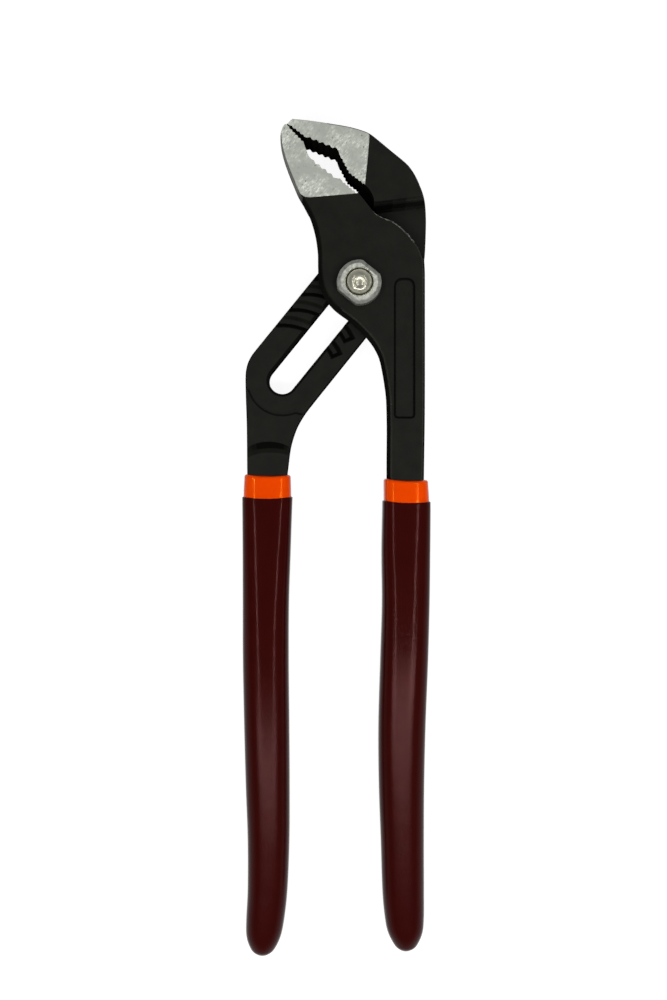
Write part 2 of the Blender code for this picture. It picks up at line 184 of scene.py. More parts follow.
# Rolled rims of the grips' coats, and the share of the length over which the shape of a mouth fades
BASE_ROLL = 0.8 * MM
TOP_ROLL = 0.4 * MM
MOUTH_FADE = 0.04

# Grips: share of the length, centre x, centre height, width, height, squareness
LEFT_GRIP = [
    (0.0, -27.2, -3.75, 14.95, 9.2, 3.3),
    (0.0465, -27.25, -3.6, 15.34, 9.4, 3.1),
    (0.073, -27.3, -3.4, 15.15, 9.5, 3.0),
    (0.163, -27.45, -2.7, 14.6, 10.1, 2.75),
    (0.267, -27.65, -1.9, 14.05, 10.7, 2.5),
    (0.385, -27.65, -1.2, 13.9, 11.2, 2.3),
    (0.523, -27.35, -0.6, 13.65, 11.4, 2.2),
    (0.648, -27.05, -0.4, 13.25, 11.3, 2.1),
    (0.759, -26.8, -0.3, 12.6, 11.1, 2.1),
    (0.863, -27.1, -0.3, 12.0, 10.8, 2.1),
    (0.925, -27.8, -0.3, 11.45, 10.5, 2.1),
    (0.9605, -28.3, -0.3, 10.3, 9.7, 2.0),
    (0.9855, -28.55, -0.3, 7.3, 7.1, 2.0),
    (0.996, -28.6, -0.3, 4.2, 4.1, 2.0),
    (1.0, -28.6, -0.3, 1.4, 1.4, 2.0),
]
RIGHT_GRIP = [
    (0.0, 14.1, 3.3, 14.0, 9.8, 3.3),
    (0.0455, 14.3, 3.2, 14.3, 9.8, 3.1),
    (0.071, 14.3, 3.1, 14.37, 9.9, 3.0),
    (0.156, 14.2, 2.6, 14.52, 10.3, 2.75),
    (0.263, 14.25, 1.9, 14.25, 10.8, 2.5),
    (0.383, 13.85, 1.2, 14.35, 11.2, 2.3),
    (0.524, 13.25, 0.6, 14.15, 11.4, 2.2),
    (0.652, 13.15, 0.4, 13.6, 11.3, 2.1),
    (0.765, 13.4, 0.3, 12.95, 11.1, 2.1),
    (0.871, 13.65, 0.3, 12.5, 10.8, 2.1),
    (0.928, 14.0, 0.3, 11.75, 10.4, 2.1),
    (0.9605, 14.25, 0.3, 10.4, 9.7, 2.0),
    (0.986, 14.4, 0.3, 7.0, 6.8, 2.0),
    (0.996, 14.35, 0.3, 4.0, 3.9, 2.0),
    (1.0, 14.3, 0.3, 1.4, 1.4, 2.0),
]


def srgb(text):
    """The linear colour of a six-digit sRGB hex colour."""
    channels = [int(text[i : i + 2], 16) / 255 for i in (0, 2, 4)]
    return tuple(c / 12.92 if c <= 0.04045 else ((c + 0.055) / 1.055) ** 2.4 for c in channels)


def length(name, description, default):
    """A length property, in metres."""
    return FloatProperty(
        name=name, description=description, default=default, unit="LENGTH", subtype="DISTANCE"
    )


def angle(name, description, degrees):
    """An angle property, given in degrees."""
    turn = math.radians(degrees)
    return FloatProperty(
        name=name, description=description, default=turn, unit="ROTATION", subtype="ANGLE"
    )


def colour(name, description, text):
    """A colour property, given as sRGB hex."""
    return FloatVectorProperty(
        name=name, description=description, default=srgb(text), subtype="COLOR", size=3, min=0, max=1
    )


class PliersSizes(bpy.types.PropertyGroup):
    """Sizes that the visible pieces are made from."""

    joint_height: length("Joint height", "Height of the plane where the levers meet", 0.0095)
    joint_gap: length("Joint gap", "Half of the gap between the two levers", 0.00015)
    plate: length("Plate", "Thickness of each lever beside the joint plane", 0.0065)
    neck_rise: length("Neck rise", "Height of the rear neck over the joint plane", 0.0004)
    ground_face: length("Ground face", "Height of the ground jaw faces over the joint plane", 0.0062)
    jaw_back: length("Jaw back", "Depth of the jaws behind the joint plane", 0.0057)
    draft: angle("Draft", "Slope of the forged walls", 13)
    edge_round: length("Edge round", "Radius of the forged edges", 0.00045)
    slot_angle: angle("Slot angle", "Direction of the slot", 51)
    slot_half: length("Slot half width", "Half of the width of the slot and of the bolt hole", 0.004)
    slot_flare: length("Slot flare", "Width of the slot's slanted rim", 0.0008)
    stations: IntProperty(name="Stations", description="Number of adjusting grooves", default=7, min=2)
    station_pitch: length("Station pitch", "Distance between adjusting grooves", 0.006)
    groove_radius: length("Groove radius", "Radius of the adjusting grooves", 0.018)
    groove_width: length("Groove width", "Width of an adjusting groove at the joint face", 0.0042)
    groove_depth: length("Groove depth", "Depth of an adjusting groove", 0.0015)
    shoulder: length("Shoulder", "Radius of the milled end of the joint face", 0.011)
    step_fillet: length("Step fillet", "Radius at the foot of the milled step", 0.0009)
    fine_pitch: length("Fine pitch", "Distance between fine jaw teeth", 0.00125)
    fine_depth: length("Fine depth", "Depth of the fine jaw teeth", 0.0003)
    coarse_pitch: length("Coarse pitch", "Distance between coarse jaw teeth", 0.00225)
    coarse_depth: length("Coarse depth", "Depth of the coarse jaw teeth", 0.0005)
    head_radius: length("Head radius", "Radius of the bolt's head", 0.008)
    head_thickness: length("Head thickness", "Thickness of the bolt's head", 0.0027)
    shank_radius: length("Shank radius", "Radius of the bolt's shank", 0.0038)
    bolt_top: length("Bolt top", "Height of the bolt's dome over the joint plane", 0.0113)
    nut_radius: length("Nut radius", "Radius of the nut", 0.0066)
    nut_half_flats: length("Nut half flats", "Half of the distance across the nut's flats", 0.0057)
    nut_seat: length("Nut seat", "Height of the nut's seat over the joint plane", 0.0068)
    nut_top: length("Nut top", "Height of the nut's face over the joint plane", 0.0104)
    grip_length: length("Grip length", "Length of the left grip", 0.1446)
    grip_shorter: length("Right grip shorter by", "How much shorter the right grip is", 0.003)
    left_mouth: length("Left mouth", "Distance of the left grip's mouth below the pivot", 0.0562)
    right_mouth: length("Right mouth", "Distance of the right grip's mouth below the pivot", 0.0576)
    coat: length("Coat", "Thickness of the top coat", 0.00042)
    mouth_dip: length("Mouth dip", "How far a grip's mouth hangs down in its middle", 0.0006)


class PliersColours(bpy.types.PropertyGroup):
    """Colours of the materials."""

    black: colour("Black", "Blackened forging", "1b1b18")
    rubbed: colour("Rubbed", "Steel where the black is rubbed off", "8a8a84")
    ground: colour("Ground", "Ground steel of the jaw faces", "b4b7ae")
    dull: colour("Dull", "Thinly ground flank of the lower jaw", "70726c")
    # Painted shade: near-black colours that stand in for the shade at the rims of cuts and steps, and in
    # them
    rim_shade: colour("Soot", "Oil at the rims of the cuts", "121210")
    deep_shade: colour("Deep", "Scale and oil in the cuts", "0b0b0a")
    zinc: colour("Zinc", "Zinc plating of the nut", "b2b4ab")
    # The rim is painted darker than the face, as shade on its slope, and is duller
    bevel: colour("Bevel", "Dull rim of the nut", "888983")
    bolt: colour("Bolt", "Peened end of the bolt", "a8a797")
    orange: colour("Orange", "Base coat of the grips", "e84200")
    maroon: colour("Maroon", "Top coat of the grips", "320705")
    orange_gloss: colour("Orange gloss", "Gloss of the base coat", "ffb444")
    maroon_gloss: colour("Maroon gloss", "Gloss of the top coat", "ffbcba")
    floor: colour("Floor", "Floor and backdrop", "ffffff")


def points(line):
    """A table's points in metres."""
    return [Vector((x * MM, y * MM)) for x, y in line]


def flow(line, gap=0.9):
    """A smooth line through the points of a table, sampled about gap millimetres apart."""
    stops = points(line)
    last = len(stops) - 1
    heading = [(stops[min(i + 1, last)] - stops[max(i - 1, 0)]).normalized() for i in range(last + 1)]
    made = []
    for i in range(last):
        a, b = stops[i : i + 2]
        reach = (b - a).length / 3
        steps = max(2, round(reach * 3 / (gap * MM)) + 1)
        handles = (a + heading[i] * reach, b - heading[i + 1] * reach)
        made += interpolate_bezier(a, *handles, b, steps)[:-1]
    return made + [stops[last]]


def arc(cx, cy, radius, start, end, gap=0.7):
    """Points on an arc in metres, both ends included, angles in degrees."""
    steps = max(3, round(abs(math.radians(end - start)) * radius / (gap * MM)))
    turns = [math.radians(start + (end - start) * i / steps) for i in range(steps + 1)]
    return [Vector((cx + radius * math.cos(t), cy + radius * math.sin(t))) for t in turns]


def teeth(a, b, pitch, depth):
    """Rounded saw teeth from a to b, cut to the left of the run."""
    a, b = points((a, b))
    along = (b - a).normalized()
    inwards = Vector((-along.y, along.x)) * depth
    count = round((b - a).length / pitch)
    made = []
    for i in range(count):
        for share, sunk in TOOTH:
            made.append(a.lerp(b, (i + share) / count) + inwards * sunk)
    return made + [b]


def outline(*runs):
    """Runs of points joined into one closed loop."""
    loop = []
    for run in runs:
        for point in run:
            if not loop or (point - loop[-1]).length > 1e-6:
                loop.append(point)
    return loop


def roomy(loop, inset, least_turn=0.2, margin=1.25):
    """The anticlockwise loop without the points that an inset would push past an outward corner."""
    dropped = set()
    for i, point in enumerate(loop):
        before = point - loop[i - 1]
        after = loop[(i + 1) % len(loop)] - point
        turn = before.angle_signed(after)
        if turn > -least_turn:
            continue
        room = inset * math.tan(-turn / 2) * margin
        for way in (-1, 1):
            k = i + way
            while (loop[k % len(loop)] - point).length < room:
                dropped.add(k % len(loop))
                k += way
    return [point for i, point in enumerate(loop) if i not in dropped]


def fillet(radius, *finishes):
    """Rows of a quarter round for blank(), in one finish or in four."""
    steps = 4
    turns = [math.radians(90 * i / steps) for i in range(steps + 1)]
    return [
        (radius * (math.sin(b) - math.sin(a)), radius * (math.cos(a) - math.cos(b)), finish)
        for a, b, finish in zip(turns, turns[1:], finishes * (steps // len(finishes)))
    ]


def steepen(body, floor, a, b, fade, near=2.5 * MM, strength=0.85):
    """Brings the drafted wall above the floor height nearly upright along the run from a to b."""
    a, b = points((a, b))
    along = b - a
    for vert in body.data.vertices:
        if vert.co.z < floor:
            continue
        spot = vert.co.xy
        share = (spot - a).dot(along) / along.length_squared
        beyond = max(-share, share - 1, 0) * along.length
        foot = a + along * share
        if (spot - foot).length < near and beyond < fade:
            vert.co.xy = spot.lerp(foot, strength * (1 - beyond / fade))


def refinish(body, old, new, inside):
    """Gives a new finish to the faces of an old one whose centre, in millimetres, is inside."""
    for face in body.data.polygons:
        if face.material_index == old and inside(face.center / MM):
            face.material_index = new


def blank(name, loop, parting, up, down, finish=BLACK):
    """A block from a loop at a height, stepped up and down by rows of rise, inset and finish."""
    mesh = bmesh.new()
    loop = roomy(loop, max(sum(row[1] for row in rows) for rows in (up, down)))
    lower = mesh.faces.new([mesh.verts.new((p.x / MM, p.y / MM, parting / MM)) for p in loop])
    made = bmesh.ops.extrude_face_region(mesh, geom=[lower])["geom"]
    upper = next(f for f in made if isinstance(f, bmesh.types.BMFace))
    bmesh.ops.translate(mesh, verts=upper.verts, vec=(0, 0, BAND / MM))
    bmesh.ops.recalc_face_normals(mesh, faces=mesh.faces)
    for face in mesh.faces:
        face.material_index = finish if face in (lower, upper) else (up or down)[0][2]
    for face, rows in ((upper, up), (lower, down)):
        for rise, inset, row_finish in rows:
            ring = bmesh.ops.inset_region(
                mesh,
                faces=[face],
                thickness=inset / MM,
                depth=rise / MM,
                use_even_offset=True,
                use_boundary=True,
            )
            for wall in ring["faces"]:
                wall.material_index = row_finish
    bmesh.ops.scale(mesh, verts=mesh.verts, vec=(MM, MM, MM))
    return solid(name, mesh)


def solid(name, mesh):
    """An object from a bmesh, in the scene and with outward faces."""
    bmesh.ops.recalc_face_normals(mesh, faces=mesh.faces)
    data = bpy.data.meshes.new(name)
    mesh.to_mesh(data)
    mesh.free()
    body = bpy.data.objects.new(name, data)
    bpy.context.scene.collection.objects.link(body)
    return body


def combine(body, tool, operation):
    """Joins the tool to the body or cuts it away, and drops the tool."""
    step = body.modifiers.new(tool.name, "BOOLEAN")
    step.operation = operation
    step.object = tool
    step.solver = "EXACT"
    graph = bpy.context.evaluated_depsgraph_get()
    before = len(body.data.polygons)
    data = bpy.data.meshes.new_from_object(body.evaluated_get(graph))
    body.modifiers.clear()
    body.data = data
    if len(data.polygons) in (0, before):
        raise RuntimeError("%s: %s with %s changed nothing" % (body.name, operation, tool.name))
    bpy.data.objects.remove(tool)


def cut(body, name, loop, parting, up, down, finish=BLACK):
    """Cuts a block out of the body, made as by blank()."""
    combine(body, blank(name, loop, parting, up, down, finish), "DIFFERENCE")


def spun(name, profile):
    """A body of revolution about the pivot axis from a profile of radius and height."""
    mesh = bmesh.new()
    line = [mesh.verts.new((r, 0, z)) for r, z in profile]
    edges = [mesh.edges.new(pair) for pair in zip(line, line[1:])]
    bmesh.ops.spin(
        mesh,
        geom=line + edges,
        cent=(0, 0, 0),
        axis=(0, 0, 1),
        angle=math.tau,
        steps=SEGMENTS,
        use_merge=True,
    )
    bmesh.ops.remove_doubles(mesh, verts=mesh.verts, dist=1e-7)
    return solid(name, mesh)


def finished(body, moves_with, nodes, materials, sharp=38):
    """Cleans and shades a piece, gives it its materials and stands it in for its CAD nodes."""
    mesh = bmesh.new()
    mesh.from_mesh(body.data)
    bmesh.ops.remove_doubles(mesh, verts=mesh.verts, dist=1e-6)
    bmesh.ops.dissolve_degenerate(mesh, dist=1e-7, edges=mesh.edges)
    mesh.to_mesh(body.data)
    mesh.free()
    for made in materials:
        body.data.materials.append(made)
    body.data.shade_smooth()
    body.data.set_sharp_from_angle(angle=math.radians(sharp))
    body.modifiers.new("weighted_normals", "WEIGHTED_NORMAL").keep_sharp = True
    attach(body, moves_with)
    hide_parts(*nodes)


def add(tree, kind, inputs, **settings):
    """A node with its settings, its inputs set or linked to a socket or to a node's first output."""
    node = tree.nodes.new(kind)
    for key, value in settings.items():
        setattr(node, key, value)
    for key, value in inputs.items():
        if isinstance(value, bpy.types.Node):
            value = next(socket for socket in value.outputs if socket.enabled)
        if isinstance(value, bpy.types.NodeSocket):
            tree.links.new(value, node.inputs[key])
        else:
            node.inputs[key].default_value = value
    return node


def new_material(name):
    """A material, its node tree, and the object's coordinates in it."""
    made = bpy.data.materials.new(name)
    made.use_nodes = True
    tree = made.node_tree
    tree.nodes.clear()
    return made, tree, add(tree, "ShaderNodeTexCoord", {}).outputs["Object"]


def tone(tint, factor=1.0):
    """A colour made lighter or darker, with its alpha."""
    return (*[min(1, c * factor) for c in tint], 1)


def clouds(tree, place, size, low, high, dark, light, detail=3.0, crisp=0.6):
    """Patches of about a size that go from a dark to a light colour, and the share of the light one."""
    inputs = {"Vector": place, "Scale": 1 / size, "Detail": detail, "Roughness": crisp}
    noise = add(tree, "ShaderNodeTexNoise", inputs)
    share = add(tree, "ShaderNodeMapRange", {"Value": noise, "From Min": low, "From Max": high})
    return add(tree, "ShaderNodeMix", {0: share, 6: dark, 7: light}, data_type="RGBA"), share


def bumps(tree, place, size, depth, strength, detail=3.0, crisp=0.6, below=None):
    """Bumps of about a size, on top of those below."""
    inputs = {"Vector": place, "Scale": 1 / size, "Detail": detail, "Roughness": crisp}
    noise = add(tree, "ShaderNodeTexNoise", inputs)
    inputs = {"Height": noise, "Distance": depth, "Strength": strength}
    if below is not None:
        inputs["Normal"] = below
    return add(tree, "ShaderNodeBump", inputs)


def surface(made, inputs):
    """The material, with the surface that the inputs describe."""
    shader = add(made.node_tree, "ShaderNodeBsdfPrincipled", inputs)
    add(made.node_tree, "ShaderNodeOutputMaterial", {"Surface": shader})
    return made


def forged_black(name, colours, wear, thin, gloss):
    """Blackened forging: an oiled phosphate skin over blasted steel, thin and rubbed at the edges."""
    made, tree, place = new_material(name)
    dark = tone(colours.black, 0.85 + thin)
    light = tone(colours.black, 1.15 + thin)
    skin, _ = clouds(tree, place, 5 * MM, 0.3, 0.7, dark, light)
    bare = tone(colours.rubbed)
    shade, rubbed = clouds(tree, place, 1.3 * MM, 0.78 - wear, 0.95 - wear * 0.9, skin, bare)
    blasted = bumps(tree, place, 0.6 * MM, 0.03 * MM, 0.6)
    inputs = {"Base Color": shade, "Metallic": rubbed, "Roughness": 0.55, "Normal": blasted}
    inputs["Specular IOR Level"] = gloss
    return surface(made, inputs)


def painted_recess_shade(name, tint):
    """Walls of cuts and teeth, painted near black as shade, without any gloss."""
    made = new_material(name)[0]
    return surface(made, {"Base Color": tone(tint), "Roughness": 0.9, "Specular IOR Level": 0.0})


def ground_steel(name, tint):
    """Ground steel: smooth grey, with fine scratches that run one way and dark pits in patches."""
    made, tree, place = new_material(name)
    shade, worn = clouds(tree, place, 7 * MM, 0.42, 0.62, tone(tint, 0.84), tone(tint, 1.1))
    inputs = {"Vector": place, "Rotation": (0, 0, math.radians(-40)), "Scale": (1, 2.6, 1)}
    turned = add(tree, "ShaderNodeMapping", inputs, vector_type="TEXTURE")
    # Real scratches are hundredths of a millimetre wide, too fine to show, so these are drawn coarser
    inputs = {"Vector": turned, "Scale": 1 / (0.5 * MM), "Detail": 4.0, "Roughness": 0.7}
    scratches = add(tree, "ShaderNodeTexNoise", inputs)
    for low, high, factor in ((0.52, 0.66, 1.9), (0.46, 0.34, 0.55)):
        marks = add(tree, "ShaderNodeMapRange", {"Value": scratches, "From Min": low, "From Max": high})
        marks = add(tree, "ShaderNodeMath", {0: marks, 1: worn}, operation="MULTIPLY")
        inputs = {0: marks, 6: shade, 7: tone(tint, factor)}
        shade = add(tree, "ShaderNodeMix", inputs, data_type="RGBA")
    shade, _ = clouds(tree, place, 0.8 * MM, 0.68, 0.73, shade, tone(tint, 0.25), detail=2.0)
    rough = add(tree, "ShaderNodeBump", {"Height": scratches, "Distance": 0.01 * MM, "Strength": 0.6})
    return surface(made, {"Base Color": shade, "Metallic": 0.4, "Roughness": 0.45, "Normal": rough})


def faded_flank(name, colours):
    """Flank where the grinding runs out: dull steel that fades into the black skin towards the joint."""
    made, tree, place = new_material(name)
    along = add(tree, "ShaderNodeSeparateXYZ", {"Vector": place}).outputs["Y"]
    inputs = {"Value": along, "From Min": 25 * MM, "From Max": 29 * MM}
    bare = add(tree, "ShaderNodeMapRange", inputs, interpolation_type="SMOOTHSTEP")
    inputs = {0: bare, 6: tone(colours.black), 7: tone(colours.dull)}
    shade = add(tree, "ShaderNodeMix", inputs, data_type="RGBA")
    return surface(made, {"Base Color": shade, "Roughness": 0.6, "Specular IOR Level": 0.04})


def zinc_plate(name, tint, roughness, cloudy):
    """Zinc plating: soft grey metal, a little cloudy."""
    made, tree, place = new_material(name)
    dark = tone(tint, 1 - cloudy)
    light = tone(tint, 1 + cloudy)
    shade, _ = clouds(tree, place, MM, 0.3, 0.7, dark, light, detail=4.0, crisp=0.7)
    pitted = bumps(tree, place, 0.4 * MM, 0.012 * MM, 0.5)
    inputs = {"Base Color": shade, "Metallic": 0.85, "Roughness": roughness, "Normal": pitted}
    return surface(made, inputs)


def dipped_vinyl(name, tint, sheen, gloss):
    """Dipped vinyl: ripples, pores and a narrow gloss tinted by the dye, satin where the dip drained."""
    made, tree, place = new_material(name)
    shade, _ = clouds(tree, place, 6 * MM, 0.3, 0.7, tone(tint, 0.92), tone(tint, 1.06))
    ripples = bumps(tree, place, 7 * MM, 0.05 * MM, 1.0, detail=1.0, crisp=0.5)
    pores = bumps(tree, place, 0.9 * MM, 0.03 * MM, 1.0, detail=2.0, below=ripples)
    along = add(tree, "ShaderNodeSeparateXYZ", {"Vector": place}).outputs["Y"]
    inputs = {"Value": along, "From Min": -140 * MM, "From Max": -95 * MM}
    inputs |= {"To Min": 0.24, "To Max": 0.13}
    satin = add(tree, "ShaderNodeMapRange", inputs, interpolation_type="SMOOTHSTEP")
    inputs = {"Base Color": shade, "Roughness": satin, "Specular IOR Level": gloss, "Normal": pores}
    inputs["Specular Tint"] = tone(sheen)
    return surface(made, inputs)


def lever_materials(colours, name):
    """The finishes of a lever, in the order of their numbers."""
    return [
        forged_black(name + "_blackened_steel", colours, wear=0, thin=0, gloss=0.04),
        # The side finish is painted darker than the top, as shade on the walls, through a negative thin,
        # and has no gloss
        forged_black(name + "_blackened_side", colours, wear=0, thin=-0.2, gloss=0),
        forged_black(name + "_rubbed_edge", colours, wear=0.12, thin=0.9, gloss=0.04),
        ground_steel(name + "_ground_steel", colours.ground),
        forged_black(name + "_bright_edge", colours, wear=0.36, thin=3, gloss=0.04),
        faded_flank(name + "_dull_flank", colours),
        # The last two are painted shade: near black at the rims of cuts and steps, and blacker inside
        # them
        painted_recess_shade(name + "_shaded_rim", colours.rim_shade),
        painted_recess_shade(name + "_recess", colours.deep_shade),
    ]


class PLIERS_OT_rear_lever(bpy.types.Operator):
    """Makes the rear lever: neck, slotted and grooved bar, and upper jaw"""

    bl_idname = "pliers.rear_lever"
    bl_label = "Rear lever"

    def execute(self, context):
        s = context.scene.pliers_sizes
        joint = s.joint_height
        slope = math.tan(s.draft)
        edge = s.edge_round
        rise = s.neck_rise + PARTING - BAND - edge
        fall = s.plate - PARTING - edge
        lever = blank(
            "rear_lever_visual",
            outline(flow(REAR_NECK_RIGHT), points(REAR_HEEL), flow(REAR_NECK_LEFT)),
            joint - PARTING,
            [(rise, rise * slope, SIDE)] + fillet(edge, BLACK),
            [(fall, fall * slope, SIDE)] + fillet(edge, RUBBED),
        )
        slope *= UPPER_JAW_DRAFT
        brow = 1.2 * MM
        rise = s.plate + JAW_PARTING - BAND - brow
        fall = s.jaw_back - JAW_PARTING - edge
        jaw = blank(
            "rear_jaw",
            outline(flow(REAR_JAW_BACK), points(REAR_JAW_INSIDE), points(REAR_JAW_ROOT)),
            joint - JAW_PARTING,
            [(rise, rise * slope, SIDE)] + fillet(brow, BLACK),
            [(fall, fall * slope, SIDE)] + fillet(edge, RUBBED),
        )
        # The brow near the tip is ground with the face
        refinish(jaw, BLACK, GROUND, lambda c: c.x < -9 and c.y > 45 and c.z > 15.2)
        bite = outline(
            points([(-25.1, 50.35), (-21.1, 47.3)]),
            teeth((-20.4, 46.77), (-16.0, 43.4), s.fine_pitch, s.fine_depth),
            teeth((-15.4, 43.2), (-6.0, 39.4), s.coarse_pitch, s.coarse_depth),
            flow([(-6.0, 39.4), (-5.7, 38.3), (-5.2, 37.1)]),
            teeth((-5.2, 37.1), (-2.9, 32.65), s.fine_pitch, s.fine_depth),
            teeth((-2.9, 32.65), (2.0, 28.95), s.fine_pitch, s.fine_depth),
            flow([(2.0, 28.95), (2.75, 28.3), (3.9, 26.55), (4.5, 25.0)]),
            points([(4.5, 22.6), (5.2, 18.0), (6.5, 14.0), (14.5, 6.0)]),
            points([(-6.0, 6.0), (-32.0, 40.0), (-30.0, 50.35)]),
        )
        # The walls of the bite are painted near black as shade
        rows = [(THROUGH, 0, HALF_SHADE)]
        cut(jaw, "rear_bite", bite[::-1], joint, rows, rows, HALF_SHADE)
        combine(lever, jaw, "UNION")
        self.mill(s, lever, joint)
        finishes = lever_materials(context.scene.pliers_colours, "rear")
        finished(lever, "rear", ["rear_lever"], finishes)
        return {"FINISHED"}

    def mill(self, s, lever, joint):
        """Cuts the joint face, the slot, the grooves, the step at the grip and the ground jaw face."""
        away_x = -s.station_pitch * math.cos(s.slot_angle)
        away_y = -s.station_pitch * math.sin(s.slot_angle)
        end = (away_x * (s.stations - 1), away_y * (s.stations - 1))
        face = joint - s.joint_gap
        foot = s.step_fillet
        brink = 1.2 * MM
        loop = outline(
            arc(*end, s.shoulder - 2 * MM, *SHOULDER_ARC),
            points([(-9.0, -39.0), (10.0, -44.0), (36.0, 0.0), (36.0, 27.95)]),
            points([(17.0, 25.68), (14.0, 25.32), (10.0, 24.84), (4.1, 24.132)]),
            points([(-6.0, 33.0), (-14.0, 33.0), (-46.0, -15.0), (-46.0, -29.0)]),
        )
        # The rounded brink, the wall and the foot of the step are painted shade, darkest at the foot
        round_over = reversed(fillet(brink, FULL_SHADE, HALF_SHADE, HALF_SHADE, BLACK))
        rows = [(inset, rise, finish) for rise, inset, finish in round_over]
        rows += [(s.plate + s.joint_gap - brink - foot, 0, FULL_SHADE)] + fillet(foot, FULL_SHADE)
        tool = blank("milling", loop, joint + s.plate, [(6 * MM, 0, BLACK)], rows)
        # The painted shade of the step fades out towards the heel
        for start, old, new in ((14, HALF_SHADE, BLACK), (14, FULL_SHADE, SIDE), (10, HALF_SHADE, SIDE), (10, FULL_SHADE, HALF_SHADE)):
            refinish(tool, old, new, lambda c: c.x > start and c.y > 20)
        combine(lever, tool, "DIFFERENCE")
        soft = 2.2 * MM
        loop = outline(
            arc(*end, s.shoulder + 0.6 * MM, *SHOULDER_ARC),
            points([(-9.0, -41.0), (12.0, -44.0), (20.0, -12.0), (-10.0, -18.0)]),
            points([(-30.0, -6.0), (-46.0, -15.0), (-46.0, -32.0)]),
        )
        # One row of the shoulder's rounding is painted shade, for a dark line along the arc
        rows = fillet(soft, BLACK, BLACK, HALF_SHADE, BLACK)
        cut(lever, "shoulder", loop, face + soft, [(4 * MM, 0, BLACK)], rows)
        neck = joint + s.neck_rise
        loop = outline(flow(NECK_ARCH), points([(-39.0, -68.0), (-14.0, -68.0)]))
        step = fillet(1.4 * MM, FULL_SHADE, FULL_SHADE, SIDE, BLACK)
        rows = [(CLEAR, 0, BLACK)] + [(rise, inset * 2.2, finish) for rise, inset, finish in step]
        tool = blank("plateau", loop, neck + CLEAR, [(2 * MM, 0, BLACK)], rows)
        # The step under the grip is painted shade, darkest in its middle, and it leans back most there
        for reach, old, new in ((4.2, FULL_SHADE, HALF_SHADE), (5.2, HALF_SHADE, SIDE)):
            refinish(tool, old, new, lambda c: abs(c.x + 26.5) > reach and c.y > -58)
        for vert in tool.data.vertices:
            sunk = max(0, neck - vert.co.z)
            vert.co.y -= 1.1 * sunk * max(0, 1 - ((vert.co.x / MM + 27.3) / 8) ** 2)
        combine(lever, tool, "DIFFERENCE")
        rim = s.slot_half + s.slot_flare
        turn = math.degrees(s.slot_angle)
        loop = outline(arc(0, 0, rim, turn - 90, turn + 90), arc(*end, rim, turn + 90, turn + 270))
        # The slot's slanted rim and its walls are painted shade
        rows = [(CLEAR, 0, HALF_SHADE), (s.slot_flare, s.slot_flare, HALF_SHADE), (8 * MM, 0, FULL_SHADE)]
        cut(lever, "slot", loop, face + CLEAR, [(2 * MM, 0, BLACK)], rows)
        # A shallow pocket at the heel, all painted dark, as the shade between the levers
        loop = points([(-2.0, 27.6), (4.2, 21.2), (5.4, 22.4), (5.2, 25.5), (2.4, 29.8), (0.0, 31.2)])
        cut(lever, "heel_shade_pocket", loop, face + CLEAR, [(MM, 0, FULL_SHADE)], [(0.3 * MM, 0, FULL_SHADE)], FULL_SHADE)
        outer = s.groove_radius + s.groove_width / 2
        inner = s.groove_radius - s.groove_width / 2
        rows = [(CLEAR, 0, BLACK)]
        rows += [(share * s.groove_depth, inset * MM, finish) for share, inset, finish in GROOVE_SIDE]
        for k in range(s.stations):
            centre = (away_x * k, away_y * k)
            loop = outline(arc(*centre, outer, *GROOVE_ARC), arc(*centre, inner, *GROOVE_ARC[::-1]))
            tool = blank("groove", loop, face + CLEAR, [(MM, 0, BLACK)], rows)

            def pale(c):
                """Whether a face is on the groove's outer wall, to the left of the slot."""
                far = (c.xy - Vector(centre) / MM).length > s.groove_radius / MM
                return far and c.x * away_y > c.y * away_x

            # On the outer walls to the left of the slot the painted shade is one step lighter
            refinish(tool, HALF_SHADE, BLACK, pale)
            refinish(tool, FULL_SHADE, SIDE, pale)
            combine(lever, tool, "DIFFERENCE")
        loop = outline(
            points([(-30.0, 24.0), (1.4, 24.0), (1.86, 29.4), (2.6, 36.3)]),
            flow([(3.1, 42.6), (3.15, 43.6), (2.85, 44.5), (2.0, 45.1), (-1.5, 46.45), (-6.0, 47.6)]),
            points([(-9.5, 60.0), (-30.0, 60.0)]),
        )
        cut(lever, "grinding", loop, joint + s.ground_face, [(4 * MM, 0, GROUND)], [], GROUND)


